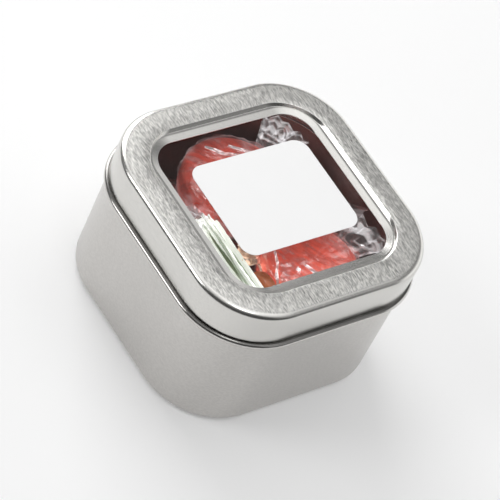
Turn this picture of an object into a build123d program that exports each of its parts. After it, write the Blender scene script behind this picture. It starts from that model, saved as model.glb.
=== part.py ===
"""Square slip-lid tin with a clear window, filled with wrapped boiled sweets.

A drawn sheet-metal base with a formed bead and a curled rim, a drawn lid whose
stepped frame holds a clear pane, a ring that keeps the pane in, a blank paper
label, and three layers of sweets in twisted clear film.

Millimetres, +Z up. The origin is on the table, under the middle of the tin.
"""

from build123d import *
import os

os.makedirs("parts", exist_ok=True)

# Overall form of the closed tin
lid_width = 60.3
lid_corner_radius = 16.6
overall_height = 38.5
sheet = 0.25

# Lid: shoulder, flat rim, stepped window frame and hem
shoulder_radius = 1.45
rim_width = 6.45
rim_corner_step = 5.5
recess_depth = 0.9
brow_radius = 0.4
foot_radius = 0.35
frame_width = 2.75
frame_corner_step = 4.6
lip_run = 0.47
lip_drop = 0.38
lip_radius = 1.3
hem_radius = 0.5

# Window pane, its retaining ring and the label on it
pane_thickness = 0.3
pane_clearance = 0.3
retainer_grip_gap = 0.05
retainer_flange = 2.0
retainer_headroom = 0.2
label_side_margin = 8.0
label_end_margin = 5.025
label_corner_radius = 3.3
label_thickness = 0.1
label_shift_x = -0.35
label_shift_y = 1.0

# Base: body, bead, neck and curled rim
body_inset = 0.17
body_corner_ease = 0.4
bottom_radius = 1.85
stand_ring_width = 2.5
panel_raise = 0.5
panel_step_run = 0.6
panel_lap = 1.0
bead_height = 28.6
bead_radius = 0.75
bead_projection = 1.06
rim_curl_radius = 0.6

# Fits between lid and base
slip_clearance = 0.3
seat_gap = 0.15
rim_gap = 0.2

# Sweets and their film
headspace = 4.9
sweet_gap = 0.3
film = 0.35
film_gap = 0.3
layer_count = 3
lattice_count = 2
lower_sweet_share = 0.45
left_sweet_share = 0.4685
right_sweet_share = 0.4266
barrel_sweet_share = 0.21
barrel_end_share = 0.9
edge_bevel_share = 0.25
left_sweet_place_shares = (-0.42, 0.035)
right_sweet_place_shares = (0.49, 0.175)
amber_thickness = 3.4
amber_along_share = 0.563
mint_sweet_place_shares = (0.28, -0.685)
left_tail_angles = (115.0, -65.0)
right_tail_angles = (98.0, -112.0)
left_tail_shares = (0.52, 0.52)
right_tail_shares = (0.55, 0.38)
tail_pinch_width_share = 0.3
tail_pinch_thickness_share = 0.32
tail_root_width_share = 0.55
tail_end_width_shares = (0.85, 0.55)
tail_end_thickness_share = 0.16
tail_pinch_share = 0.25
pleat_place_shares = (0.2275, -0.516)
pleat_length_share = 0.8
pleat_span_share = 0.23
pleat_count = 7
pleat_height = 1.9

# Sizes that follow from the values above
half_sheet = sheet / 2
lid_half = lid_width / 2
recess_width = lid_width - 2 * rim_width
recess_corner_radius = lid_corner_radius - rim_corner_step
window_width = recess_width - 2 * frame_width
window_corner_radius = recess_corner_radius - frame_corner_step
lip_width = window_width + 2 * lip_run
lip_corner_radius = window_corner_radius + lip_run
label_width = window_width - 2 * label_side_margin
label_length = window_width - 2 * label_end_margin
skirt_foot = bead_height + bead_radius + seat_gap
skirt_join = skirt_foot + hem_radius
body_half = lid_half - body_inset
body_corner_radius = lid_corner_radius + body_corner_ease
neck_step = 2 * hem_radius + slip_clearance - body_inset
rim_top = overall_height - sheet - rim_gap
cavity_half = body_half - neck_step - sheet
ledge_z = overall_height - recess_depth
pane_top = ledge_z - lip_drop - sheet
pane_bottom = pane_top - pane_thickness
cavity_floor = panel_raise + sheet
fill_top = pane_bottom - sheet - headspace
layer_pitch = (fill_top - cavity_floor) / layer_count
wrapped_thickness = layer_pitch - sweet_gap
top_layer_floor = fill_top - wrapped_thickness


def ring_form(section, width, corner_radius):
    """A flat section carried round a rounded square, its x = 0 on the outer side and its y up."""
    half_side = width / 2 - corner_radius
    start = Plane.XZ.offset(-half_side)
    with BuildPart() as quarter:
        with BuildSketch(start):
            with Locations((width / 2, 0)):
                add(section)
        revolve(axis=Axis((half_side, half_side, 0), (0, 0, 1)), revolution_arc=90)
        with BuildSketch(start):
            with Locations((width / 2, 0)):
                add(section)
        extrude(amount=2 * half_side)
    with BuildPart() as ring:
        with PolarLocations(0, 4):
            add(quarter.part)
    return ring.part


def lid_form(inward):
    """The lid's top form as a full block, with every face moved inwards by a sheet's share."""
    with BuildPart() as form:
        with BuildSketch(Plane.XY.offset(skirt_join)):
            RectangleRounded(
                lid_width - 2 * inward, lid_width - 2 * inward, lid_corner_radius - inward
            )
        extrude(amount=overall_height - inward - skirt_join)
        fillet(form.edges().group_by(Axis.Z)[-1], shoulder_radius - inward)

        with BuildSketch(Plane.XY.offset(overall_height - inward)):
            RectangleRounded(
                recess_width + 2 * inward, recess_width + 2 * inward, recess_corner_radius + inward
            )
        extrude(amount=-recess_depth, mode=Mode.SUBTRACT)
        brow = form.faces().sort_by(Axis.Z)[-1].inner_wires()[0].edges()
        fillet(brow, brow_radius - inward)
        ledge = form.faces().filter_by(Axis.Z).sort_by(Axis.Z)[-2]
        fillet(ledge.outer_wire().edges(), foot_radius + inward)

        with BuildSketch(Plane.XY.offset(ledge_z - inward)):
            RectangleRounded(lip_width, lip_width, lip_corner_radius)
        with BuildSketch(Plane.XY.offset(ledge_z - lip_drop - inward)):
            RectangleRounded(window_width, window_width, window_corner_radius)
        loft(mode=Mode.SUBTRACT)
        ledge = form.faces().filter_by(Axis.Z).sort_by(Axis.Z)[-2]
        fillet(ledge.inner_wires()[0].edges(), lip_radius - inward)
    return form.part


def disc_form(radius, thickness, bottom):
    """A round pressed disc with bevelled edges, standing on a level."""
    with BuildPart() as disc:
        with BuildSketch(Plane.XY.offset(bottom)):
            Circle(radius)
        extrude(amount=thickness)
        chamfer(disc.edges(), edge_bevel_share * thickness)
    return disc.part


def barrel_form(radius, height, bottom):
    """A standing barrel sweet: a little wider at its waist, standing on a level."""
    end_radius = barrel_end_share * radius
    with BuildPart() as barrel:
        with BuildSketch(Plane.XZ):
            with BuildLine():
                Line((0, bottom), (end_radius, bottom))
                ThreePointArc(
                    (end_radius, bottom), (radius, bottom + height / 2), (end_radius, bottom + height)
                )
                Polyline((end_radius, bottom + height), (0, bottom + height), (0, bottom))
            make_face()
        revolve(axis=Axis.Z)
    return barrel.part


def tail_form(radius, angle, length, end_width_share, middle_z):
    """One twisted end of a wrapper: pinched beside the sweet, then fanned out."""
    pinch_width = tail_pinch_width_share * radius
    pinch_thickness = tail_pinch_thickness_share * wrapped_thickness
    stations = (
        (radius - length / 2, tail_root_width_share * radius, pinch_thickness),
        (radius + tail_pinch_share * length, pinch_width, pinch_thickness),
        (radius + length, end_width_share * radius, tail_end_thickness_share * wrapped_thickness),
    )
    outward = Vector(1, 0, 0).rotate(Axis.Z, angle)
    with BuildPart() as tail:
        for reach, width, thickness in stations:
            station = Plane(
                origin=Vector(0, 0, middle_z) + outward * reach,
                x_dir=outward.cross(Vector(0, 0, 1)),
                z_dir=outward,
            )
            with BuildSketch(station):
                Rectangle(width, thickness)
        loft(ruled=True)
    return tail.part


def wrapper_form(radius, tail_angles, tail_shares):
    """A sweet's film at the origin: a puffed cover with two twisted tails and a pocket."""
    middle = top_layer_floor + wrapped_thickness / 2
    with BuildPart() as wrapper:
        add(disc_form(radius, wrapped_thickness, top_layer_floor))
        for angle, share, end_share in zip(tail_angles, tail_shares, tail_end_width_shares):
            add(tail_form(radius, angle, share * radius, end_share, middle))
        add(
            disc_form(radius - film, wrapped_thickness - 2 * film, top_layer_floor + film),
            mode=Mode.SUBTRACT,
        )
    return wrapper.part


def core_form(radius):
    """The boiled sweet inside a top-layer wrapper, clear of the film all round."""
    inset = film + film_gap
    return disc_form(radius - inset, wrapped_thickness - 2 * inset, top_layer_floor + inset)


def place_in_cavity(shares):
    """Plan position from shares of the cavity's half width."""
    return (shares[0] * cavity_half, shares[1] * cavity_half)


# Base: raised panel, stand ring, bottom radius, wall, bead, neck and curled rim
ring_inner = -(bottom_radius + stand_ring_width)
panel_edge = ring_inner - panel_step_run
bead_round = bead_radius - half_sheet
bead_middle = bead_projection + body_inset - bead_radius
neck_middle = -neck_step - half_sheet
rim_middle = rim_top - rim_curl_radius
with BuildSketch() as base_section:
    with BuildLine():
        Polyline(
            (panel_edge - panel_lap, panel_raise + half_sheet),
            (panel_edge, panel_raise + half_sheet),
            (ring_inner, half_sheet),
        )
        FilletPolyline(
            (ring_inner, half_sheet),
            (-half_sheet, half_sheet),
            (-half_sheet, bead_height - bead_round),
            radius=bottom_radius - half_sheet,
        )
        Line((-half_sheet, bead_height - bead_round), (bead_middle, bead_height - bead_round))
        CenterArc((bead_middle, bead_height), bead_round, -90, 180)
        Polyline(
            (bead_middle, bead_height + bead_round),
            (neck_middle, bead_height + bead_round),
            (neck_middle, rim_middle),
        )
    trace(line_width=sheet)
    with Locations((-neck_step - rim_curl_radius, rim_middle)):
        Circle(rim_curl_radius)

panel_inset = panel_lap - panel_edge
with BuildPart() as base_shell:
    add(ring_form(base_section.sketch, 2 * body_half, body_corner_radius))
    with BuildSketch(Plane.XY.offset(panel_raise)):
        RectangleRounded(
            2 * (body_half - panel_inset), 2 * (body_half - panel_inset), body_corner_radius - panel_inset
        )
    extrude(amount=sheet)
base_shell.part.label = "base_shell"

# Lid frame: hollowed top form, window opening and closed rolled hem
with BuildSketch() as hem_section:
    with Locations((-hem_radius, skirt_join)):
        Circle(hem_radius)

with BuildPart() as lid_frame:
    add(lid_form(0))
    with BuildSketch(Plane.XY.offset(skirt_join)):
        RectangleRounded(window_width, window_width, window_corner_radius)
    extrude(until=Until.LAST, mode=Mode.SUBTRACT)
    add(lid_form(sheet), mode=Mode.SUBTRACT)
    add(ring_form(hem_section.sketch, lid_width, lid_corner_radius))
lid_frame.part.label = "lid_frame"

# Retaining ring: a leg that grips the recess wall and a flange under the pane
leg_inset = sheet + retainer_grip_gap + sheet
with BuildSketch() as ring_section:
    with BuildLine():
        Polyline(
            (-half_sheet - retainer_flange, pane_bottom - half_sheet),
            (-half_sheet, pane_bottom - half_sheet),
            (-half_sheet, overall_height - sheet - retainer_headroom),
        )
    trace(line_width=sheet)

with BuildPart() as window_retainer:
    add(ring_form(ring_section.sketch, recess_width + 2 * leg_inset, recess_corner_radius + leg_inset))
window_retainer.part.label = "window_retainer"

# Clear pane, seated between the lip and the ring's flange
pane_half = recess_width / 2 + sheet + retainer_grip_gap - pane_clearance
with BuildPart() as window_pane:
    with BuildSketch(Plane.XY.offset(pane_bottom)):
        RectangleRounded(2 * pane_half, 2 * pane_half, recess_corner_radius)
    extrude(amount=pane_thickness)
window_pane.part.label = "window_pane"

# Blank paper label, stuck on the pane a little off centre
with BuildPart() as label:
    with BuildSketch(Plane.XY.offset(pane_top)):
        with Locations((label_shift_x, label_shift_y)):
            RectangleRounded(label_width, label_length, label_corner_radius)
    extrude(amount=label_thickness)
label.part.label = "label"

# Two lower layers of wrapped sweets, each a square lattice of equal discs
lower_radius = lower_sweet_share * cavity_half
lattice_pitch = 2 * lower_radius + sweet_gap
lower_layers = []
for layer in range(layer_count - 1):
    layer_floor = cavity_floor + sweet_gap + layer * layer_pitch
    with BuildPart() as sweets:
        with GridLocations(lattice_pitch, lattice_pitch, lattice_count, lattice_count):
            add(disc_form(lower_radius, wrapped_thickness, layer_floor))
    sweets.part.label = "sweets_layer_" + str(layer + 1)
    lower_layers.append(sweets.part)

# Top layer: two red sweets in clear film, seen beside the label
left_radius = left_sweet_share * cavity_half
with BuildPart() as left_red_sweet:
    with Locations(place_in_cavity(left_sweet_place_shares)):
        add(core_form(left_radius))
left_red_sweet.part.label = "left_red_sweet"

with BuildPart() as left_wrapper:
    with Locations(place_in_cavity(left_sweet_place_shares)):
        add(wrapper_form(left_radius, left_tail_angles, left_tail_shares))
left_wrapper.part.label = "left_wrapper"

right_radius = right_sweet_share * cavity_half
with BuildPart() as right_red_sweet:
    with Locations(place_in_cavity(right_sweet_place_shares)):
        add(core_form(right_radius))
right_red_sweet.part.label = "right_red_sweet"

with BuildPart() as right_wrapper:
    with Locations(place_in_cavity(right_sweet_place_shares)):
        add(wrapper_form(right_radius, right_tail_angles, right_tail_shares))
right_wrapper.part.label = "right_wrapper"

# Top layer: a small amber sweet on its edge, close beside the right sweet
amber_radius = wrapped_thickness / 2
right_y = place_in_cavity(right_sweet_place_shares)[1]
amber_face = Plane(
    origin=(
        amber_along_share * cavity_half,
        right_y - right_radius - sweet_gap,
        top_layer_floor + amber_radius,
    ),
    z_dir=(0, -1, 0),
)
with BuildPart() as amber_sweet:
    with Locations(amber_face):
        add(disc_form(amber_radius, amber_thickness, 0))
amber_sweet.part.label = "amber_sweet"

# Top layer: a mint barrel sweet, standing under the pleated film
barrel_radius = barrel_sweet_share * cavity_half
barrel_height = wrapped_thickness - pleat_height - sweet_gap
with BuildPart() as mint_sweet:
    with Locations(place_in_cavity(mint_sweet_place_shares)):
        add(barrel_form(barrel_radius, barrel_height, top_layer_floor))
mint_sweet.part.label = "mint_sweet"

# Pleated film end that lies over the mint sweet, its folds running along X
pleat_span = pleat_span_share * cavity_half
pleat_length = pleat_length_share * cavity_half
pleat_step = pleat_span / (2 * pleat_count)
pleat_bottom = fill_top - pleat_height
pleat_x, pleat_y = place_in_cavity(pleat_place_shares)
pleat_line = [
    (
        step * pleat_step - pleat_span / 2,
        pleat_bottom + film + (step % 2) * (pleat_height - 2 * film),
    )
    for step in range(2 * pleat_count + 1)
]
with BuildPart() as pleated_wrapper:
    with BuildSketch(Plane.YZ.offset(pleat_x - pleat_length / 2)):
        with BuildLine():
            Polyline(*[(pleat_y + across, height) for across, height in pleat_line])
        trace(line_width=film)
    extrude(amount=pleat_length)
pleated_wrapper.part.label = "pleated_wrapper"

parts = [
    base_shell.part,
    lid_frame.part,
    window_retainer.part,
    window_pane.part,
    label.part,
    *lower_layers,
    left_red_sweet.part,
    left_wrapper.part,
    right_red_sweet.part,
    right_wrapper.part,
    amber_sweet.part,
    mint_sweet.part,
    pleated_wrapper.part,
]
for part in parts:
    export_step(part, "parts/" + part.label + ".step")
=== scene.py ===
"""Looks of a square slip-lid tin with a clear window, filled with wrapped boiled sweets.

Every piece is an operator, and every size or colour that a user would change is a property.
Lengths are in metres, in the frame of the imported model.
"""

import math
import random

import bpy
from bpy.types import Operator, Panel, PropertyGroup
from mathutils import Matrix, Vector, noise


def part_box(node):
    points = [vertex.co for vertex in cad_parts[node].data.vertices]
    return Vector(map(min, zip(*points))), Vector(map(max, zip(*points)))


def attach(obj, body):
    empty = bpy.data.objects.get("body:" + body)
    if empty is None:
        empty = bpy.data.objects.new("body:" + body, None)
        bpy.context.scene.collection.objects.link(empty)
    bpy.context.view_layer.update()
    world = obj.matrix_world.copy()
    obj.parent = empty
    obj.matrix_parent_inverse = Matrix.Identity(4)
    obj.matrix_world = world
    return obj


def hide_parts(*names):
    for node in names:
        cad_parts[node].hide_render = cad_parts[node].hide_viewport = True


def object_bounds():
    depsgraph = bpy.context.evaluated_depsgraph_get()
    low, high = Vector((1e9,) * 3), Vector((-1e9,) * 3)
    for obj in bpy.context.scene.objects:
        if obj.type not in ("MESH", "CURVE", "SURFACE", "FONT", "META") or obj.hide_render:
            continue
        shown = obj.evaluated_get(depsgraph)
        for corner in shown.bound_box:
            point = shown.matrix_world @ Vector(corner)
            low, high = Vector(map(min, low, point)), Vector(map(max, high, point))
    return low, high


bl_info = {
    "name": "Window lid tin",
    "version": (1, 0, 0),
    "blender": (4, 5, 0),
    "location": "View3D > Sidebar > Tin",
    "description": "Dresses a packed window lid tin: sheet metal, window, label and wrapped sweets",
    "category": "Add Mesh",
}

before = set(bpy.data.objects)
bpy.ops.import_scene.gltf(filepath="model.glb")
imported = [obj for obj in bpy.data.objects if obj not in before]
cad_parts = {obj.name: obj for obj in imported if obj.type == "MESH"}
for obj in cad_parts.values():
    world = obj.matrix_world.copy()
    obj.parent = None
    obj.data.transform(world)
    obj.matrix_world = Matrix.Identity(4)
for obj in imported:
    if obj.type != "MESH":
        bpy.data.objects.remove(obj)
CAD_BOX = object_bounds()

MM = 0.001
QUARTER = math.pi / 2
WHITE = (1.0, 1.0, 1.0, 1.0)

# Steps round each corner of the drawn sheet, and stations all the way round
CORNER_STEPS = 28
STATIONS = 4 * (CORNER_STEPS + 1)

# Fullness of the red sweets in section: 2 is an ellipse, and more is squarer
RED_FULLNESS = 5.0

# Loose ends of the two films: name, direction in degrees, width, finish and number of pleats
TAILS = {
    "left": (
        ("far", 115, 12.5 * MM, "loose", 4),
        ("near", -65, 8.0 * MM, "loose", 4),
    ),
    "right": (
        ("far", 98, 17.0 * MM, "loose", 4),
        # This end's ochre tint is a painted reflection of the amber sweet beside it
        ("near", -112, 7.0 * MM, "tinted", 4),
        ("flap", 124, 10.0 * MM, "smooth", 1),
    ),
}

# Lines of the standing folds over each red sweet: X and Y in millimetres. The folds are real ridges, but
# their near-white comes from emission as painted highlights; the last line over the right sweet is a small
# painted glint.
FOLD_LINES = {
    "left": (
        ((-20.5, 3.5), (-17.0, 7.5), (-11.0, 9.5), (-6.5, 9.0)),
        ((-22.0, -2.0), (-18.5, 1.0), (-17.0, 5.0)),
    ),
    "right": (
        ((9.2, -2.6), (12.5, -4.0), (14.2, -5.3), (17.6, -6.4)),
        ((14.8, 2.0), (17.5, 3.0), (19.5, 5.5)),
        ((14.7, 0.1), (15.2, -0.6), (15.6, -0.1), (16.3, -0.9)),
    ),
}

# Lamps: name, place and side length in metres
LAMPS = (
    ("key", (-0.45, -0.72, 0.72), 0.4),
    ("side", (-0.85, 0.17, 0.47), 0.6),
    ("top", (0.22, -0.08, 1.0), 0.25),
    ("fill", (0.8, 0.5, 0.9), 0.7),
)


# Shader maths

class Signal:
    """A socket whose value can be used in sums; each operation adds its Math node."""

    def __init__(self, shader, socket):
        self.shader = shader
        self.socket = socket

    def maths(self, operation, *others):
        """Adds one Math node with this value first."""
        return self.shader.signal("Math", {"operation": operation}, dict(enumerate((self, *others))))

    def __add__(self, other):
        return self.maths("ADD", other)

    def __sub__(self, other):
        return self.maths("SUBTRACT", other)

    def __rsub__(self, other):
        return (self * -1.0).maths("ADD", other)

    def __mul__(self, other):
        return self.maths("MULTIPLY", other)

    def __pow__(self, other):
        return self.maths("POWER", other)

    __radd__ = __add__
    __rmul__ = __mul__

    def clamped(self):
        """The value kept between 0 and 1."""
        return self.maths("MAXIMUM", 0.0).maths("MINIMUM", 1.0)

    def sharpened(self, gain, middle=0.5):
        """The value with more contrast about a middle, kept between 0 and 1."""
        return (self * gain + (0.5 - gain * middle)).clamped()


class Shader:
    """Builds the node tree of one material, or of the world."""

    def __init__(self, name, family="materials"):
        self.owner = getattr(bpy.data, family).new(name)
        self.owner.use_nodes = True
        self.tree = self.owner.node_tree
        self.tree.nodes.clear()

    def node(self, kind, settings=None, inputs=None):
        """One node: its settings are set first, then the values or links of its sockets."""
        made = self.tree.nodes.new("ShaderNode" + kind)
        for name, setting in (settings or {}).items():
            if name == "stops":
                self.set_stops(made.color_ramp.elements, setting)
            else:
                setattr(made, name, setting)
        for name, given in (inputs or {}).items():
            if isinstance(given, Signal):
                self.tree.links.new(given.socket, made.inputs[name])
            else:
                made.inputs[name].default_value = given
        return made

    @staticmethod
    def set_stops(elements, stops):
        """Sets a ramp from pairs of position and grey level."""
        while len(elements) < len(stops):
            elements.new(1.0)
        for element, (position, grey) in zip(elements, stops):
            element.position = position
            element.color = (grey, grey, grey, 1.0)

    def signal(self, kind, settings=None, inputs=None, output=0):
        """A node's output, ready for sums or links."""
        return Signal(self, self.node(kind, settings, inputs).outputs[output])

    def place(self, size, turn=0.0):
        """Object coordinates counted in cells of one or three lengths, turned about Z."""
        return self.signal("Mapping", {"vector_type": "TEXTURE"}, {
            "Vector": self.signal("TexCoord", output="Object"),
            "Scale": size if isinstance(size, tuple) else (size, size, size),
            "Rotation": (0.0, 0.0, turn),
        })

    def grain(self, size, detail=2.0, roughness=0.5, turn=0.0, swirl=0.0):
        """Noise whose cells have one length, or three along X, Y and Z."""
        return self.signal("TexNoise", {"noise_dimensions": "3D"}, {
            "Vector": self.place(size, turn), "Scale": 1.0, "Detail": detail, "Roughness": roughness,
            "Distortion": swirl,
        }, "Fac")

    def cells(self, size, feature, output):
        """Random flat cells of the given size."""
        inputs = {"Vector": self.place(size), "Scale": 1.0}
        return self.signal("TexVoronoi", {"feature": feature}, inputs, output)

    def above(self, start):
        """0 below a height and 1 above it, over a short run."""
        run = 0.05 * MM
        coordinates = self.signal("TexCoord", output="Object")
        height = self.signal("SeparateXYZ", None, {0: coordinates}, "Z")
        return (height - start).maths("DIVIDE", run).clamped()

    def band(self, low, high):
        """1 between two heights and 0 elsewhere."""
        return self.above(low) - self.above(high)

    def facing(self, blend, normal):
        """How far the surface turns away from the view, for gloss."""
        return self.signal("LayerWeight", None, {"Blend": blend, "Normal": normal}, "Facing")

    def blend(self, factor, first, second):
        """Two colours mixed: the first at 0 and the second at 1."""
        return self.signal("Mix", {"data_type": "RGBA"}, {0: factor, 6: first, 7: second}, output=2)

    def bump(self, height, distance):
        """A normal from a height that runs from 0 to 1 over the given distance."""
        return self.signal("Bump", None, {"Height": height, "Distance": distance})

    def surface(self, inputs):
        """A Principled shader's output."""
        return self.signal("BsdfPrincipled", None, inputs)

    def see_through(self, cover, stain, gloss):
        """Gloss that covers part of a clear stained sheet; lamps shine through it unhindered."""
        clear = self.signal("BsdfTransparent", None, {"Color": stain})
        sheet = self.signal("MixShader", None, {0: cover, 1: clear, 2: gloss})
        lamp_ray = self.signal("LightPath", output="Is Shadow Ray")
        open_way = self.signal("BsdfTransparent", None, {"Color": WHITE})
        return self.signal("MixShader", None, {0: lamp_ray, 1: sheet, 2: open_way})

    def finish(self, signal, kind="OutputMaterial"):
        """Links the last shader to the output, and gives back the material or world."""
        self.node(kind, None, {"Surface": signal})
        return self.owner


def colour(values):
    """A colour property as the four numbers that a socket takes."""
    return (*values[:3], 1.0)


def tone(values, factor):
    """A colour property made lighter or darker."""
    return tuple(min(1.0, value * factor) for value in values[:3]) + (1.0,)


# Materials

def brushed_tinplate(
    name, base, stroke, brush_depth, roughness, contrast, brushed=None, burnished=None, shaded_seam=None
):
    """Satin tinplate: short strokes of the given size, fine speckle, and faint larger clouds.

    The strokes keep to the heights over brushed. Heights in burnished are smoother, and heights
    in the seam band are painted dark: painted shade, as in the gap under the lid's hem.
    """
    speckle_size, speckle_share = 0.45, 0.2
    cloud_size, cloud_roughness, cloud_tone = 9 * MM, 0.05, 0.93
    strokes_left, stroke_roughness = 0.07, 0.1
    polish, seam_shade_tone = 0.12, 0.3
    shader = Shader(name)
    strokes = shader.grain(stroke, roughness=0.6)
    speckle = shader.grain(tuple(speckle_size * side for side in stroke), detail=1.0)
    clouds = shader.grain(cloud_size)
    texture = (1.0 - speckle_share) * strokes + speckle_share * speckle
    rough = roughness + (clouds - 0.5) * cloud_roughness
    if brushed:
        strength = shader.above(brushed) * (1.0 - strokes_left) + strokes_left
        texture = (texture - 0.5) * strength + 0.5
        rough = rough + strength * stroke_roughness
    if burnished:
        rough = rough - shader.band(*burnished) * polish
    mark = texture.sharpened(gain=4.5)
    shade = shader.blend(mark, tone(base, 1.0 - contrast), tone(base, 1.0 + contrast))
    # Painted shade: the seam band is darkened as if the lid's hem shaded it
    if shaded_seam:
        shade = shader.blend(shader.band(*shaded_seam), shade, tone(base, seam_shade_tone))
    return shader.finish(shader.surface({
        "Base Color": shader.blend((clouds - 0.35).clamped() * 0.4, shade, tone(base, cloud_tone)),
        "Metallic": 1.0,
        "Roughness": rough + (texture - 0.5) * (0.7 * contrast),
        "Normal": shader.bump(texture, brush_depth),
    }))


def clear_sheet(name, base, haze, gloss_roughness, ripple):
    """Clear plastic: light passes straight through, and the gloss lies over it."""
    wave_size, grazing_power = 6 * MM, 5.0
    shader = Shader(name)
    normal = shader.bump(shader.grain(wave_size, detail=1.0), ripple)
    cover = (shader.facing(0.5, normal) ** grazing_power + haze).clamped()
    gloss = shader.surface({
        "Base Color": WHITE, "Metallic": 1.0, "Roughness": gloss_roughness, "Normal": normal,
    })
    return shader.finish(shader.see_through(cover, colour(base), gloss))


def crinkled_film(name, base, veil, spread, crease, painted_glow):
    """Clear film: soft curved veils, flat panels between creases, and a bright gloss.

    It covers by the share veil everywhere, and by up to spread more where it is folded.
    """
    fine_size, fine_share, wave_depth = 1.1 * MM, 0.15, 0.26 * MM
    panel_size, crease_sharpness = 2.0 * crease, 16.0
    shader = Shader(name)
    bands = shader.grain((2.6 * crease, crease, crease), detail=1.0, turn=0.6, swirl=1.6)
    fine = shader.grain(fine_size, detail=1.0)
    to_crease = shader.cells(0.8 * panel_size, "DISTANCE_TO_EDGE", "Distance")
    edges = (1.0 - to_crease * crease_sharpness).clamped()
    random_grey = shader.signal("SeparateColor", None, {0: shader.cells(panel_size, "F1", "Color")})
    panels = random_grey * (0.5 * spread)
    veils = bands.sharpened(gain=5.0, middle=0.56)
    normal = shader.bump(bands * (1.0 - fine_share) + fine * fine_share, wave_depth)
    # The gloss also gives off the film's colour, brighter on the veils: painted light, not a lamp
    gloss = shader.surface({
        "Base Color": colour(base), "Metallic": 0.8, "Roughness": 0.1 + fine * 0.1, "Normal": normal,
        "Emission Color": shader.blend(veils, tone(base, 0.15), colour(base)), "Emission Strength": painted_glow,
    })
    folded = veils * spread + panels + edges * (0.4 * spread) + shader.facing(0.3, normal) * spread
    cover = (folded + veil).clamped()
    return shader.finish(shader.see_through(cover, (0.985, 0.985, 0.985, 1.0), gloss))


def pleated_finish(name, pale, shade, fold):
    """Film in many layers: pale stripes along the folds with grey-green lines between them."""
    line_length, broad_length, height = 26 * MM, 14 * MM, 8 * MM
    shader = Shader(name)
    lines = shader.grain((line_length, fold, height), detail=1.0)
    broad = shader.grain((broad_length, 3 * fold, height), detail=1.0)
    mark = lines.sharpened(gain=12.0, middle=0.475)
    stripes = shader.blend(mark, colour(shade), colour(pale))
    # The stripes also give off their own colour as emission: painted light that brightens the pleats
    gloss = shader.surface({
        "Base Color": stripes,
        "Metallic": 0.1,
        "Roughness": 0.16 + broad * 0.15,
        "Normal": shader.bump(lines, 0.12 * MM),
        "Emission Color": stripes,
        "Emission Strength": 0.4,
    })
    cover = (mark * 0.7 + broad * 0.3 + 0.2).clamped()
    return shader.finish(shader.see_through(cover, (0.94, 0.97, 0.93, 1.0), gloss))


def boiled_sugar(name, base, painted_glow=0.14):
    """Boiled sugar: curved bands of lighter and deeper colour, a wet gloss, and its own colour given off
    as emission, painted light that brightens it from inside.
    """
    pit_size, pit_depth = 0.9 * MM, 0.06 * MM
    shader = Shader(name)
    bands = shader.grain((7 * MM, 2.4 * MM, 4 * MM), detail=1.5, turn=0.5, swirl=1.2)
    pits = shader.grain(pit_size)
    deep = shader.blend(bands.sharpened(gain=3.0), tone(base, 0.72), tone(base, 1.2))
    return shader.finish(shader.surface({
        "Base Color": deep,
        "Roughness": 0.2 + pits * 0.2,
        "Normal": shader.bump(pits, pit_depth),
        "Subsurface Weight": 0.2,
        "Subsurface Radius": (4.0 * MM, 0.8 * MM, 0.6 * MM),
        "Subsurface Scale": 1.0,
        "Coat Weight": 0.5,
        "Coat Roughness": 0.08,
        # Painted light: the sugar gives off its own colour
        "Emission Color": deep,
        "Emission Strength": painted_glow,
    }))


def label_paper(name, base):
    """Coated white paper: faint fibres and a slight unevenness."""
    shader = Shader(name)
    fibres = shader.grain((0.35 * MM, 0.12 * MM, 0.2 * MM), detail=3.0, roughness=0.6, turn=0.7)
    clouds = shader.grain(5 * MM, detail=1.0)
    mottle = (fibres * 0.6 + clouds * 0.4).clamped()
    return shader.finish(shader.surface({
        "Base Color": shader.blend(mottle, tone(base, 0.98), tone(base, 1.02)),
        "Roughness": 0.6 + (fibres - 0.5) * 0.2,
        "Normal": shader.bump(fibres, 0.01 * MM),
    }))


# Mesh helpers

def add_object(name, data):
    """Makes an object and puts it in the scene."""
    made = bpy.data.objects.new(name, data)
    bpy.context.scene.collection.objects.link(made)
    return made


def add_piece(name, form, material, body, replaced, sharp_angle=35.0):
    """Makes a piece that rides on a body; faces that meet below the sharp angle are smooth."""
    vertices, faces = form
    mesh = bpy.data.meshes.new(name)
    mesh.from_pydata(vertices, [], faces)
    mesh.validate()
    mesh.shade_smooth()
    mesh.set_sharp_from_angle(angle=math.radians(sharp_angle))
    mesh.materials.append(material)
    piece = add_object(name, mesh)
    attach(piece, body)
    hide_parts(*replaced)


def dress(node, material):
    """Gives a carried-over node its material."""
    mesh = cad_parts[node].data
    mesh.materials.clear()
    mesh.materials.append(material)


def arc(centre, radius, start, turn, steps):
    """Points round a centre, from a start angle through a turn, both in degrees."""
    points = []
    for step in range(steps + 1):
        way = math.radians(start + turn * step / steps)
        points.append(Vector((centre[0] + radius * math.cos(way), centre[1] + radius * math.sin(way))))
    return points


def rounded_line(corners, steps=6):
    """A line through corners of (across, height, radius), with each inner corner rounded."""
    points = [Vector(corners[0][:2])]
    for before, corner, after in zip(corners, corners[1:], corners[2:]):
        tip = Vector(corner[:2])
        back = (Vector(before[:2]) - tip).normalized()
        ahead = (Vector(after[:2]) - tip).normalized()
        half = back.angle(ahead) / 2
        radius = corner[2]
        if radius == 0:
            points.append(tip)
            continue
        reach = radius / math.tan(half)
        centre = tip + (back + ahead).normalized() * radius / math.sin(half)
        first = tip + back * reach - centre
        turn = first.angle_signed(tip + ahead * reach - centre)
        for step in range(steps + 1):
            points.append(centre + Matrix.Rotation(-turn * step / steps, 2) @ first)
    points.append(Vector(corners[-1][:2]))
    return points


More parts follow.
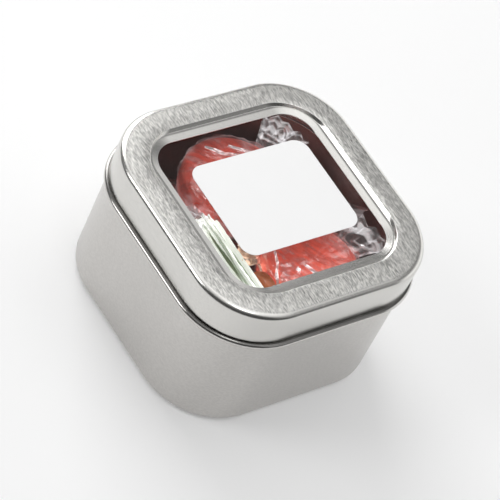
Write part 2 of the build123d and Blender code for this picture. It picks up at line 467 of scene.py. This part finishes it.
def offset_line(points, distance):
    """The line moved sideways, mitred at its corners."""
    sharpest = 0.3
    moved = []
    for index, point in enumerate(points):
        along = []
        if index > 0:
            along.append((point - points[index - 1]).normalized())
        if index < len(points) - 1:
            along.append((points[index + 1] - point).normalized())
        sides = [Vector((-way.y, way.x)) for way in along]
        middle = (sides[0] + sides[-1]).normalized()
        moved.append(point + middle * distance / max(sharpest, middle.dot(sides[0])))
    return moved


def without_repeats(points):
    """The points with no two the same in a row."""
    nearest = 0.0005 * MM
    kept = [points[0]]
    for point in points[1:]:
        if (point - kept[-1]).length > nearest:
            kept.append(point)
    return kept


def carried_ring(outline, corner_at):
    """Vertices and faces of an outline of (half width, height) carried round a rounded square.

    corner_at gives the corner radius at a half width.
    """
    vertices = []
    for corner in range(4):
        side_x = 1 if corner in (0, 3) else -1
        side_y = 1 if corner in (0, 1) else -1
        for step in range(CORNER_STEPS + 1):
            turn = (corner + step / CORNER_STEPS) * QUARTER
            for half, height in outline:
                radius = corner_at(half)
                straight = half - radius
                vertices.append((
                    side_x * straight + radius * math.cos(turn),
                    side_y * straight + radius * math.sin(turn),
                    height,
                ))
    count = len(outline)
    faces = []
    for station in range(STATIONS):
        here = station * count
        there = (station + 1) % STATIONS * count
        for step in range(count - 1):
            faces.append((here + step, there + step, there + step + 1, here + step + 1))
    return vertices, faces


def cap(count, index):
    """A flat face round a carried ring, at one of the count points of its outline."""
    return tuple(station * count + index for station in range(STATIONS))


def sheet_outline(line, half_sheet):
    """The outline of a sheet along a line: there on one face and back on the other."""
    line = without_repeats(line)
    return offset_line(line, half_sheet) + offset_line(line, -half_sheet)[::-1]


def node_middle(node):
    """The middle and the half sizes of a node's box."""
    low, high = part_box(node)
    return (low + high) / 2, (high - low) / 2


def crumples(reach, depth, seed):
    """A function that says how far film is pushed in at a place: ridges with finer dents on them."""
    finer = 2.6
    shift = Vector((7.13, 3.71, 1.37)) * seed

    def dent(place):
        broad = abs(noise.noise(place / reach + shift))
        fine = abs(noise.noise(place * finer / reach + shift))
        return depth * (1.4 * broad + 0.5 * (1.0 - 2.0 * fine))

    return dent


def dome(out, fullness):
    """Height of a pressed form: 1 over its middle and 0 at its edge, where out is 1."""
    return (1.0 - out ** fullness) ** (1.0 / fullness)


def grid_faces(rows, columns, closed=False):
    """Faces between rows of points that follow one another; a closed row goes round."""
    faces = []
    for row in range(rows - 1):
        for column in range(columns if closed else columns - 1):
            a = row * columns + column
            b = row * columns + (column + 1) % columns
            faces.append((a, b, b + columns, a + columns))
    return faces


def pressed_form(middle, half, fullness, dent=None, rings=22, sectors=96):
    """A round pressed form with full soft edges, and dents where a function gives them."""
    vertices = []
    for ring in range(-rings, rings + 1):
        out = math.sin(QUARTER * (1 - abs(ring) / rings))
        rise = math.copysign(dome(out, fullness), ring)
        for sector in range(sectors):
            turn = 2 * math.pi * sector / sectors
            outward = Vector((math.cos(turn), math.sin(turn), 0.0))
            place = middle + outward * (half.x * out) + Vector((0.0, 0.0, half.z * rise))
            if dent:
                inward = (outward * out + Vector((0.0, 0.0, rise))).normalized()
                place -= inward * max(0.0, dent(place))
            vertices.append(tuple(place))
    return vertices, grid_faces(2 * rings + 1, sectors, closed=True)


def tail_form(root, turn, reach, pinch, spread, top, rise, seed, pleats, stations=7):
    """One twisted end of film: gathered at its root and fanned out in uneven crumpled pleats."""
    flare, climb_rate, bow = 0.8, 2.2, 0.12
    root_fold, kept_sway, sway_reach = 0.45, 0.55, 0.35
    chance = random.Random(seed)
    along = Vector((math.cos(turn), math.sin(turn), 0.0))
    across = Vector((-along.y, along.x, 0.0))
    row = 2 * pleats + 1
    heights = [chance.uniform(0.3, 1.0) * (pleat % 2) for pleat in range(row)]
    sways = [0.0] * row
    vertices = []
    for station in range(stations + 1):
        part = station / stations
        width = pinch + (spread - pinch) * part ** flare
        fold = rise * (root_fold + (1.0 - root_fold) * part)
        climb = root.z + (top - root.z) * min(1.0, climb_rate * part)
        for pleat in range(row):
            side = pleat / pleats - 1.0
            sways[pleat] = kept_sway * sways[pleat] + (1.0 - kept_sway) * chance.uniform(-1.0, 1.0)
            place = Vector(root) + along * (reach * part * (1.0 - bow * side * side))
            place += across * (width * (side / 2 + sway_reach * sways[pleat] / row))
            lift = climb - fold * (heights[pleat] + 0.5 * abs(sways[pleat]))
            vertices.append((place.x, place.y, min(lift, top)))
    faces = []
    for station in range(stations):
        for pleat in range(row - 1):
            a = station * row + pleat
            if (station + pleat) % 2:
                faces += [(a, a + 1, a + 1 + row), (a, a + 1 + row, a + row)]
            else:
                faces += [(a, a + 1, a + row), (a + 1, a + 1 + row, a + row)]
    return vertices, faces


def fold_form(line, middle, half, top, wide=0.35 * MM, tall=0.5 * MM, pieces=8):
    """A fold of film along a line over a round sweet: a crest with a foot on each side."""
    points = []
    for start, end in zip(line, line[1:]):
        points += [start.lerp(end, piece / pieces) for piece in range(pieces)]
    points.append(line[-1])
    vertices = []
    for index, point in enumerate(points):
        ahead = points[min(index + 1, len(points) - 1)] - points[max(index - 1, 0)]
        sideways = Vector((-ahead.y, ahead.x)).normalized() * wide
        out = min(0.999, (point - middle.xy).length / half.x)
        surface = min(middle.z + half.z * dome(out, RED_FULLNESS), top - tall)
        crest = surface + tall * math.sin(math.pi * (index + 0.5) / len(points)) ** 0.5
        foot = surface - tall
        for place, height in ((point - sideways, foot), (point, crest), (point + sideways, foot)):
            vertices.append((place.x, place.y, height))
    faces = []
    for index in range(len(points) - 1):
        a = 3 * index
        faces += [(a, a + 3, a + 4, a + 1), (a + 1, a + 4, a + 5, a + 2)]
    return vertices, faces


def joined(forms):
    """Several forms as one list of vertices and one of faces."""
    vertices, faces = [], []
    for more_vertices, more_faces in forms:
        start = len(vertices)
        vertices += more_vertices
        faces += [tuple(start + index for index in face) for face in more_faces]
    return vertices, faces


# Properties

def level(label, note, default, **more):
    """A number of 0 or more."""
    return bpy.props.FloatProperty(name=label, description=note, default=default, min=0.0, **more)


def length(label, note, default):
    """A length."""
    return level(label, note, default, subtype="DISTANCE", unit="LENGTH", precision=5)


def tint(label, note, default):
    """A colour."""
    return bpy.props.FloatVectorProperty(
        name=label, description=note, default=default, min=0.0, max=1.0, size=3, subtype="COLOR"
    )


def share(label, note, default):
    """A number between 0 and 1."""
    return level(label, note, default, max=1.0)


def angle(label, note, degrees):
    """An angle."""
    return bpy.props.FloatProperty(
        name=label, description=note, default=math.radians(degrees), subtype="ANGLE"
    )


class TinMetal(PropertyGroup):
    """Sheet metal of the tin."""

    sheet: length("Sheet", "Thickness of the tinplate", 0.25 * MM)
    lid_colour: tint("Lid", "Colour of the lid's tinplate", (0.68, 0.67, 0.645))
    body_colour: tint("Body", "Colour of the base's tinplate", (0.60, 0.585, 0.565))
    roughness: share("Roughness", "Roughness of the satin finish", 0.27)
    brush_depth: length("Brush depth", "Depth of the brush marks", 0.05 * MM)


class TinBase(PropertyGroup):
    """Base: raised floor panel, stand ring, wall, bead, neck and curled rim."""

    corner_radius: length("Corner radius", "Radius of the body's corners", 17.0 * MM)
    inset: length("Inset", "How far the body stands inside the lid's sides", 0.17 * MM)
    bottom_radius: length("Bottom radius", "Bend between the wall and the stand ring", 1.85 * MM)
    ring_width: length("Stand ring", "Width of the flat ring that the tin stands on", 2.5 * MM)
    panel_raise: length("Panel raise", "Height of the floor panel over the ring", 0.5 * MM)
    panel_run: length("Panel run", "Width of the slope up to the panel", 0.6 * MM)
    bead_height: length("Bead height", "Height of the bead's middle", 28.6 * MM)
    bead_radius: length("Bead radius", "Outer radius of the bead", 0.75 * MM)
    bead_reach: length("Bead reach", "How far the bead reaches past the lid's sides", 1.055 * MM)
    neck_step: length("Neck step", "Step from the body in to the neck", 1.13 * MM)
    curl_radius: length("Curl radius", "Outer radius of the curled rim", 0.6 * MM)
    curl_turn: angle("Curl turn", "Turn of the curled rim", 290)


class TinLid(PropertyGroup):
    """Lid: shoulder, stepped window frame, skirt, rolled hem, pane and label."""

    corner_radius: length("Corner radius", "Radius of the lid's corners", 16.6 * MM)
    shoulder_radius: length("Shoulder radius", "Bend between the skirt and the top", 1.45 * MM)
    rim_crown: length("Rim crown", "Width of the rim's outer part that falls away", 3.0 * MM)
    rim_droop: length("Rim droop", "How far the rim falls at its outer edge", 0.25 * MM)
    recess_width: length("Recess width", "Width of the step round the window", 47.4 * MM)
    recess_corner: length("Recess corner", "Corner radius of the step", 11.1 * MM)
    recess_depth: length("Recess depth", "Depth of the step", 0.9 * MM)
    brow_crown: length("Brow crown", "Width of the rim's inner part that falls away", 1.1 * MM)
    brow_droop: length("Brow droop", "How far the rim falls at the step", 0.12 * MM)
    step_run: length("Step run", "How far the step slopes inwards", 0.72 * MM)
    brow_radius: length("Brow radius", "Bend at the top of the step", 0.35 * MM)
    foot_radius: length("Foot radius", "Bend at the bottom of the step", 0.22 * MM)
    lip_width: length("Lip width", "Width over the start of the lip", 45.0 * MM)
    lip_drop: length("Lip drop", "How far the lip falls to the window", 0.38 * MM)
    lip_radius: length("Lip radius", "Bend from the ledge into the lip", 1.3 * MM)
    window_width: length("Window width", "Width of the window opening", 41.9 * MM)
    window_corner: length("Window corner", "Corner radius of the window opening", 6.5 * MM)
    hem_radius: length("Hem radius", "Outer radius of the rolled hem", 0.5 * MM)
    hem_turn: angle("Hem turn", "Turn of the rolled hem", 255)
    pane_colour: tint("Pane", "Tint of the clear pane", (0.985, 0.99, 0.985))
    label_colour: tint("Label", "Colour of the blank label", (0.93, 0.93, 0.93))


class TinSweets(PropertyGroup):
    """Sweets and their film."""

    red: tint("Red", "Colour of the red sweets", (0.94, 0.12, 0.075))
    amber: tint("Amber", "Colour of the amber sweet", (0.46, 0.12, 0.035))
    mint: tint("Mint", "Colour of the mint sweet", (0.42, 0.52, 0.33))
    film: tint("Film", "Colour of the film's veils", (0.86, 0.84, 0.86))
    veiled_film: tint("Veiled film", "Colour of the film over the left sweet", (0.80, 0.66, 0.67))
    # The film beside the amber sweet is tinted ochre as a painted reflection of that sweet
    stained_film: tint("Amber_tinted film", "Colour of the film beside the amber sweet", (0.88, 0.70, 0.56))
    pleat_pale: tint("Pleats", "Colour of the pleats' pale stripes", (0.96, 0.97, 0.94))
    pleat_shade: tint("Pleat lines", "Colour of the lines between the pleats", (0.12, 0.16, 0.08))
    veil: share("Veil", "How much the film always covers", 0.05)
    spread: share("Spread", "How much more it covers where it is folded", 0.28)
    film_gap: length("Film gap", "Room between a sweet and its film", 0.3 * MM)
    crumple: length("Crumple", "Depth of the film's dents", 0.7 * MM)


class TinStage(PropertyGroup):
    """Floor, lights and camera."""

    camera_place: bpy.props.FloatVectorProperty(
        name="Camera", description="Where the camera stands", default=(0.24544, -0.33033, 0.44665),
        size=3, subtype="TRANSLATION", unit="LENGTH",
    )
    azimuth: angle("Azimuth", "Turn of the camera round the tin", 36.503)
    elevation: angle("Elevation", "Camera's angle above the floor", 46.078)
    roll: angle("Roll", "Camera's turn about its own line of sight", 27.460)
    lens: level("Lens", "Focal length on a 36 mm wide sensor, in millimetres", 190.64)
    floor_colour: tint("Floor", "Colour of the floor", (0.95, 0.95, 0.95))
    floor_white: share("Floor white", "How far the floor is plain white where it is seen", 0.25)
    band_level: level("Low band", "Brightness of the sky near the horizon", 0.12)
    middle_level: level("Sky", "Brightness of the sky where the flat rim mirrors it", 0.24)
    overhead_level: level("Overhead", "Brightness straight overhead", 1.35)
    backdrop_level: level("Backdrop", "Brightness of the backdrop low down behind the tin", 1.2)
    front_share: share("Front", "How bright the sky is on the camera's side", 0.4)
    key_power: level("Key light", "Power of the key light in watts", 2.4)
    side_power: level("Side light", "Power of the side light in watts", 6.2)
    top_power: level("Top light", "Power of the top light in watts", 1.0)
    fill_power: level("Fill light", "Power of the fill light in watts", 0.5)


# Pieces

class TIN_OT_base_shell(Operator):
    """Base shell as one sheet: floor, wall, bead, neck and curled rim"""

    bl_idname = "tin.base_shell"
    bl_label = "Base shell"

    def execute(self, context):
        metal, size = context.scene.tin_metal, context.scene.tin_base
        lid_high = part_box("lid_frame")[1]
        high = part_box("base_shell")[1]
        body_half = lid_high.x - size.inset
        half_sheet = metal.sheet / 2
        bead = size.bead_radius - half_sheet
        bead_middle = lid_high.x + size.bead_reach - size.bead_radius
        ring_inner = body_half - size.bottom_radius - size.ring_width
        panel_edge = ring_inner - size.panel_run
        neck = body_half - size.neck_step - half_sheet
        curl_middle = (neck + half_sheet - size.curl_radius, high.z - size.curl_radius)

        line = rounded_line([
            (panel_edge - size.ring_width, size.panel_raise + half_sheet, 0),
            (panel_edge, size.panel_raise + half_sheet, metal.sheet),
            (ring_inner, half_sheet, metal.sheet),
            (body_half - half_sheet, half_sheet, size.bottom_radius - half_sheet),
            (body_half - half_sheet, size.bead_height - bead, metal.sheet),
            (bead_middle, size.bead_height - bead, 0),
        ])
        line += arc((bead_middle, size.bead_height), bead, -90, 180, 14)
        line += rounded_line([
            (bead_middle, size.bead_height + bead, 0),
            (neck, size.bead_height + bead, metal.sheet),
            (neck, curl_middle[1], 0),
        ])
        line += arc(curl_middle, size.curl_radius - half_sheet, 0, math.degrees(size.curl_turn), 24)

        outline = sheet_outline(line, -half_sheet)
        vertices, faces = carried_ring(
            outline, lambda half: max(half - body_half + size.corner_radius, 0.0)
        )
        faces.append(cap(len(outline), 0)[::-1])
        faces.append(cap(len(outline), len(outline) - 1))
        material = brushed_tinplate(
            "tinplate_body", metal.body_colour, (0.7 * MM, 0.7 * MM, 0.35 * MM),
            0.05 * metal.brush_depth, metal.roughness + 0.03, contrast=0.05,
            burnished=(size.bead_height - size.bead_radius, high.z),
            # The seam band above the bead is painted shade, as under the lid's hem
            shaded_seam=(size.bead_height + 0.78 * size.bead_radius, size.bead_height + 1.1 * size.bead_radius),
        )
        add_piece(
            "formed_base", (vertices, faces), material, "base", ["base_shell"]
        )
        return {"FINISHED"}


class TIN_OT_lid_frame(Operator):
    """Lid as one sheet: hem, skirt, shoulder, stepped frame and lip"""

    bl_idname = "tin.lid_frame"
    bl_label = "Lid frame"

    def execute(self, context):
        metal, size = context.scene.tin_metal, context.scene.tin_lid
        low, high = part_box("lid_frame")
        half_sheet = metal.sheet / 2
        side = high.x - half_sheet
        top = high.z - half_sheet
        ledge = high.z - size.recess_depth - half_sheet
        recess = size.recess_width / 2 + half_sheet
        hem_middle = (high.x - size.hem_radius, low.z + size.hem_radius)

        turn = math.degrees(size.hem_turn)
        line = arc(hem_middle, size.hem_radius - half_sheet, -turn, turn, 22)
        line += rounded_line([
            (side, hem_middle[1], 0),
            (side, top - size.rim_droop, size.shoulder_radius - half_sheet),
            (side - size.shoulder_radius - size.rim_crown, top, 4 * size.rim_crown),
            (recess + size.brow_crown, top, 2.0 * size.brow_crown),
            (recess, top - size.brow_droop, size.brow_radius - half_sheet),
            (recess - size.step_run, ledge, size.foot_radius + half_sheet),
            (size.lip_width / 2, ledge, size.lip_radius),
            (size.window_width / 2, ledge - size.lip_drop, 0),
        ], 10)
        outline = sheet_outline(line, half_sheet)
        outline.append(outline[0])

        sides = [
            (size.window_width / 2, size.window_corner),
            (size.lip_width / 2, size.window_corner + (size.lip_width - size.window_width) / 2),
            (size.recess_width / 2, size.recess_corner),
            (high.x, size.corner_radius),
        ]

        def corner_at(half):
            for (inner, inner_radius), (outer, outer_radius) in zip(sides, sides[1:]):
                if half <= outer or outer == sides[-1][0]:
                    part = (half - inner) / (outer - inner)
                    return inner_radius + part * (outer_radius - inner_radius)

        material = brushed_tinplate(
            "tinplate_lid", metal.lid_colour, (1.2 * MM, 0.19 * MM, 0.45 * MM),
            metal.brush_depth, metal.roughness - 0.04, contrast=0.42, brushed=high.z - 0.2 * MM,
        )
        add_piece(
            "formed_lid", carried_ring(outline, corner_at), material,
            "lid", ["lid_frame"],
        )
        return {"FINISHED"}


class TIN_OT_retainer(Operator):
    """Ring that holds the pane from below"""

    bl_idname = "tin.retainer"
    bl_label = "Window retainer"

    def execute(self, context):
        metal = context.scene.tin_metal
        dress("window_retainer", brushed_tinplate(
            "tinplate_inside", tone(metal.body_colour, 0.85), (1.0 * MM, 1.0 * MM, 0.4 * MM),
            metal.brush_depth, metal.roughness + 0.05, contrast=0.08,
        ))
        return {"FINISHED"}


class TIN_OT_window(Operator):
    """Clear pane and the blank label on it"""

    bl_idname = "tin.window"
    bl_label = "Window and label"

    def execute(self, context):
        lid = context.scene.tin_lid
        dress("window_pane", clear_sheet(
            "clear_pane", lid.pane_colour, haze=0.035, gloss_roughness=0.03, ripple=0.02 * MM
        ))
        dress("label", label_paper("label_paper", lid.label_colour))
        return {"FINISHED"}


class TIN_OT_lower_sweets(Operator):
    """Two lower layers of wrapped sweets"""

    bl_idname = "tin.lower_sweets"
    bl_label = "Lower sweets"

    def execute(self, context):
        sweets = context.scene.tin_sweets
        # Darker copies of the red sugar and of the film: painted shade, as deep down in the tin
        sugar = boiled_sugar("red_sweet_below", tone(sweets.red, 0.65), 0.035)
        film = crinkled_film("clear_film_below", tone(sweets.film, 0.6), 0.14, 0.3, 3.0 * MM, painted_glow=0.0)
        for layer, node in enumerate(("sweets_layer_1", "sweets_layer_2")):
            low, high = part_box(node)
            radius = (high.x - low.x - sweets.film_gap) / 4
            half = Vector((radius, radius, (high.z - low.z) / 2))
            inset = sweets.film_gap + sweets.crumple
            core_half = half - Vector((inset, inset, inset))
            cores, films = [], []
            for column in (-1, 1):
                for row in (-1, 1):
                    middle = Vector((
                        column * (high.x - radius), row * (high.y - radius), (low.z + high.z) / 2
                    ))
                    dent = crumples(4.0 * MM, sweets.crumple, 9 * layer + 3 * column + row)
                    cores.append(pressed_form(middle, core_half, 4.0, rings=8, sectors=48))
                    films.append(pressed_form(middle, half, 4.5, dent, rings=12, sectors=60))
            add_piece("sugar_" + node, joined(cores), sugar, "base", [node])
            add_piece("film_" + node, joined(films), film, "base", [node], sharp_angle=20.0)
        return {"FINISHED"}


class TIN_OT_red_sweets(Operator):
    """Two red sweets at the window, each in twisted film"""

    bl_idname = "tin.red_sweets"
    bl_label = "Red sweets"

    def execute(self, context):
        sweets = context.scene.tin_sweets
        # Both red sugars give off painted light; the left copy is painted darker, as in the lid's shadow,
        # and the right brighter, as fully lit
        sugars = {
            "left": boiled_sugar("red_sweet", tone(sweets.red, 0.9), 0.15),
            "right": boiled_sugar("red_sweet_bright", sweets.red, 0.38),
        }
        # Each film has a colour, its veil and spread, its crease size and its emission strength, which is
        # painted light
        shares = (sweets.veil, sweets.spread)
        covers = {
            "left": crinkled_film("veiled_film", sweets.veiled_film, *shares, 5.5 * MM, 0.35),
            "right": crinkled_film("clear_film", sweets.film, *shares, 4.7 * MM, 0.08),
        }
        # The ends give off light of their own as painted light; the end beside the amber sweet is tinted
        # with a painted reflection of it
        ends = {
            "loose": crinkled_film("loose_film", sweets.film, 0.25, 0.6, 3.2 * MM, 0.55),
            "tinted": crinkled_film("stained_film", sweets.stained_film, 0.65, 0.3, 2.0 * MM, 0.8),
            "smooth": crinkled_film("smooth_film", tone(sweets.veiled_film, 0.7), 0.3, 0.3, 5.0 * MM, 0.3),
        }
        for side, tails in TAILS.items():
            self.add_sweet(side, sweets, sugars[side], covers[side])
            for tail in tails:
                self.add_tail(side, tail, ends)
        self.add_folds(sweets)
        return {"FINISHED"}

    @staticmethod
    def add_sweet(side, sweets, sugar, cover):
        """One sweet and the film that lies round it."""
        core, wrapper = side + "_red_sweet", side + "_wrapper"
        middle, half = node_middle(core)
        inset = Vector((0.0, 0.0, 0.5 * sweets.crumple))
        form = pressed_form(middle, half - inset, RED_FULLNESS)
        add_piece(side + "_sugar", form, sugar, "base", [core])
        skin_half = half + Vector((1.0, 1.0, 0.0)) * (2 * sweets.film_gap)
        skin_half.z = node_middle(wrapper)[1].z
        dent = crumples(5.0 * MM, sweets.crumple, len(side))
        skin = pressed_form(middle, skin_half, RED_FULLNESS, dent, rings=30, sectors=140)
        add_piece(side + "_film", skin, cover, "base", [wrapper], sharp_angle=25.0)

    @staticmethod
    def add_tail(side, tail, ends):
        """One loose end of a sweet's film, kept inside its node's box."""
        root_share, pinch_share, end_share = 0.93, 0.3, 0.97
        part, degrees, spread, finish, pleats = tail
        middle, half = node_middle(side + "_red_sweet")
        low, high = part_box(side + "_wrapper")
        turn = math.radians(degrees)
        root = middle + Vector((math.cos(turn), math.sin(turn), 0.0)) * (root_share * half.x)
        end = high.y if degrees > 0 else low.y
        reach = (end - root.y) / math.sin(turn) * end_share
        vertices, faces = tail_form(
            root, turn, reach, pinch_share * half.x, spread,
            top=high.z, rise=2.2 * MM, seed=degrees + 200, pleats=pleats,
        )
        kept_in = [(min(max(x, low.x), high.x), y, z) for x, y, z in vertices]
        add_piece(
            side + "_tail_" + part, (kept_in, faces), ends[finish],
            "base", [side + "_wrapper"], sharp_angle=14.0,
        )

    @staticmethod
    def add_folds(sweets):
        """Folds that stand up out of the film over the two sweets; their film gives off near-white light,
        as painted highlights.
        """
        finish = crinkled_film("folded_film", sweets.film, 0.9, 0.4, 1.5 * MM, 1.2)
        for side, lines in FOLD_LINES.items():
            middle, half = node_middle(side + "_red_sweet")
            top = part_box(side + "_wrapper")[1].z
            forms = []
            for line in lines:
                forms.append(fold_form([Vector(point) * MM for point in line], middle, half, top))
            add_piece(
                side + "_folds", joined(forms), finish,
                "base", [side + "_wrapper"], sharp_angle=30.0,
            )


class TIN_OT_barrels(Operator):
    """Amber and mint barrel sweets"""

    bl_idname = "tin.barrels"
    bl_label = "Barrel sweets"

    def execute(self, context):
        sweets = context.scene.tin_sweets
        for name, base, turn in (
            ("amber_sweet", sweets.amber, Matrix.Rotation(QUARTER, 3, "X")),
            ("mint_sweet", sweets.mint, Matrix.Identity(3)),
        ):
            middle, half = node_middle(name)
            sideways = Vector(abs(value) for value in turn @ half)
            vertices, faces = pressed_form(Vector(), sideways, 3.5, rings=16, sectors=64)
            placed = [tuple(middle + turn @ Vector(vertex)) for vertex in vertices]
            add_piece(name + "_sugar", (placed, faces), boiled_sugar(name, base), "base", [name])
        return {"FINISHED"}


class TIN_OT_pleats(Operator):
    """Pleated film end over the mint sweet"""

    bl_idname = "tin.pleats"
    bl_label = "Pleated film"

    def execute(self, context):
        sweets = context.scene.tin_sweets
        low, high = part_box("pleated_wrapper")
        size = high - low
        folds, columns = 17, 24
        kept_sway, sway, extra_sway = 0.8, 0.2, 0.3
        chance = random.Random(7)
        sways = [0.0] * (folds + 1)
        starts = [chance.uniform(0.0, 0.13) for fold in range(folds + 1)]
        vertices = []
        for column in range(columns + 1):
            part = column / columns
            loose = sway + extra_sway * (1.0 - part) ** 3
            for fold in range(folds + 1):
                sways[fold] = kept_sway * sways[fold] + loose * chance.uniform(-1.0, 1.0)
                lift = size.z * (0.1 + 0.85 * (fold % 2)) * (1.0 - 0.2 * abs(sways[fold]))
                across = low.y + size.y * (0.05 + 0.9 * (fold + 0.6 * sways[fold]) / folds)
                along = starts[fold] + (1.0 - starts[fold]) * part
                vertices.append((low.x + size.x * along, across, low.z + lift))
        finish = pleated_finish("pleated_film", sweets.pleat_pale, sweets.pleat_shade, fold=0.36 * MM)
        add_piece(
            "pleated_film", (vertices, grid_faces(columns + 1, folds + 1)), finish,
            "base", ["pleated_wrapper"], sharp_angle=12.0,
        )
        return {"FINISHED"}


class TIN_OT_stage(Operator):
    """Pale floor, soft studio light and the camera"""

    bl_idname = "tin.stage"
    bl_label = "Stage"

    def execute(self, context):
        stage = context.scene.tin_stage
        self.add_floor(stage)
        self.add_world(context.scene, stage)
        self.add_lights(stage)
        self.add_camera(context.scene, stage)
        context.scene.view_settings.view_transform = "Standard"
        return {"FINISHED"}

    @staticmethod
    def add_floor(stage):
        """A pale floor just below the tin: it keeps the shadow, and is partly plain white when seen."""
        reach, gap = 20.0, 0.05 * MM
        corners = [(-reach, -reach), (reach, -reach), (reach, reach), (-reach, reach)]
        mesh = bpy.data.meshes.new("floor")
        mesh.from_pydata([(x, y, CAD_BOX[0].z - gap) for x, y in corners], [], [(0, 1, 2, 3)])
        shader = Shader("pale_floor")
        paper = shader.surface({
            "Base Color": colour(stage.floor_colour), "Roughness": 0.9, "Specular IOR Level": 0.1,
        })
        camera, glossy, passing = (
            shader.signal("LightPath", output=ray)
            for ray in ("Is Camera Ray", "Is Glossy Ray", "Is Transmission Ray")
        )
        seen = (camera + glossy + passing).clamped() * stage.floor_white
        white = shader.signal("Emission", None, {"Color": WHITE})
        mesh.materials.append(shader.finish(
            shader.signal("MixShader", None, {0: seen, 1: paper, 2: white})
        ))
        floor = add_object("floor", mesh)

    @staticmethod
    def add_world(scene, stage):
        """A studio: bright overhead, darker low down and by the camera, and a low backdrop at +Y."""
        side_slope, side_start = 0.9, 0.75
        low_start, low_slope = 1.6, 2.6
        shader = Shader("studio", "worlds")
        way = shader.node("SeparateXYZ", None, {
            0: shader.signal("TexCoord", output="Generated"),
        })
        along_x, along_y, up = (Signal(shader, socket) for socket in way.outputs)
        band, middle, top = stage.band_level, stage.middle_level, stage.overhead_level
        sky = shader.signal("ValToRGB", {"stops": (
            (0.0, band), (0.3, 1.5 * band),
            (0.6, 0.65 * middle), (0.73, middle),
            (0.9, top), (1.0, top),
        )}, {0: up})
        behind = along_x * -math.sin(stage.azimuth) + along_y * math.cos(stage.azimuth)
        side = (behind * side_slope + side_start).maths("MAXIMUM", stage.front_share).maths("MINIMUM", 1.0)
        low = (low_start - up * low_slope).clamped()
        backdrop = low * along_y.sharpened(gain=5.0, middle=0.72) * stage.backdrop_level
        light = shader.signal("VectorMath", {"operation": "MULTIPLY_ADD"}, {0: sky, 1: side, 2: backdrop})
        background = shader.signal("Background", None, {"Color": light})
        scene.world = shader.finish(background, "OutputWorld")

    @staticmethod
    def add_lights(stage):
        """Square lamps that all point at the tin."""
        for name, place, size in LAMPS:
            lamp = bpy.data.lights.new(name + "_light", "AREA")
            lamp.shape = "SQUARE"
            lamp.size = size
            lamp.energy = getattr(stage, name + "_power")
            light = add_object(name + "_light", lamp)
            light.location = place
            light.rotation_mode = "QUATERNION"
            light.rotation_quaternion = (-Vector(place)).to_track_quat("-Z", "Y")

    @staticmethod
    def add_camera(scene, stage):
        """The camera of the photograph's view."""
        view = bpy.data.cameras.new("camera")
        view.sensor_width = 36.0
        view.lens = stage.lens
        view.clip_start = 0.01
        view.clip_end = 20.0
        turn = Matrix.Rotation(stage.azimuth, 4, "Z") @ Matrix.Rotation(QUARTER - stage.elevation, 4, "X")
        scene.camera = add_object("camera", view)
        scene.camera.matrix_world = (
            Matrix.Translation(stage.camera_place) @ turn @ Matrix.Rotation(stage.roll, 4, "Z")
        )


class TIN_PT_panel(Panel):
    """Lists the tin's pieces in the sidebar"""

    bl_idname = "TIN_PT_panel"
    bl_label = "Window lid tin"
    bl_space_type = "VIEW_3D"
    bl_region_type = "UI"
    bl_category = "Tin"

    def draw(self, context):
        for operator in PIECES:
            self.layout.operator(operator.bl_idname)
        for name in GROUPS:
            box = self.layout.box()
            group = getattr(context.scene, name)
            for prop in group.bl_rna.properties:
                if prop.identifier not in ("rna_type", "name"):
                    box.prop(group, prop.identifier)


GROUPS = {
    "tin_metal": TinMetal,
    "tin_base": TinBase,
    "tin_lid": TinLid,
    "tin_sweets": TinSweets,
    "tin_stage": TinStage,
}
PIECES = (
    TIN_OT_base_shell,
    TIN_OT_lid_frame,
    TIN_OT_retainer,
    TIN_OT_window,
    TIN_OT_lower_sweets,
    TIN_OT_red_sweets,
    TIN_OT_barrels,
    TIN_OT_pleats,
    TIN_OT_stage,
)


def register():
    """Registers the property groups, the operators and the panel."""
    for made in (*GROUPS.values(), *PIECES, TIN_PT_panel):
        bpy.utils.register_class(made)
    for name, group in GROUPS.items():
        setattr(bpy.types.Scene, name, bpy.props.PointerProperty(type=group))


def unregister():
    """Takes all of them away again."""
    for name in GROUPS:
        delattr(bpy.types.Scene, name)
    for made in reversed((*GROUPS.values(), *PIECES, TIN_PT_panel)):
        bpy.utils.unregister_class(made)


def main():
    """Makes every piece in order."""
    register()
    for operator in PIECES:
        family, name = operator.bl_idname.split(".")
        getattr(getattr(bpy.ops, family), name)()


if __name__ == "__main__":
    main()
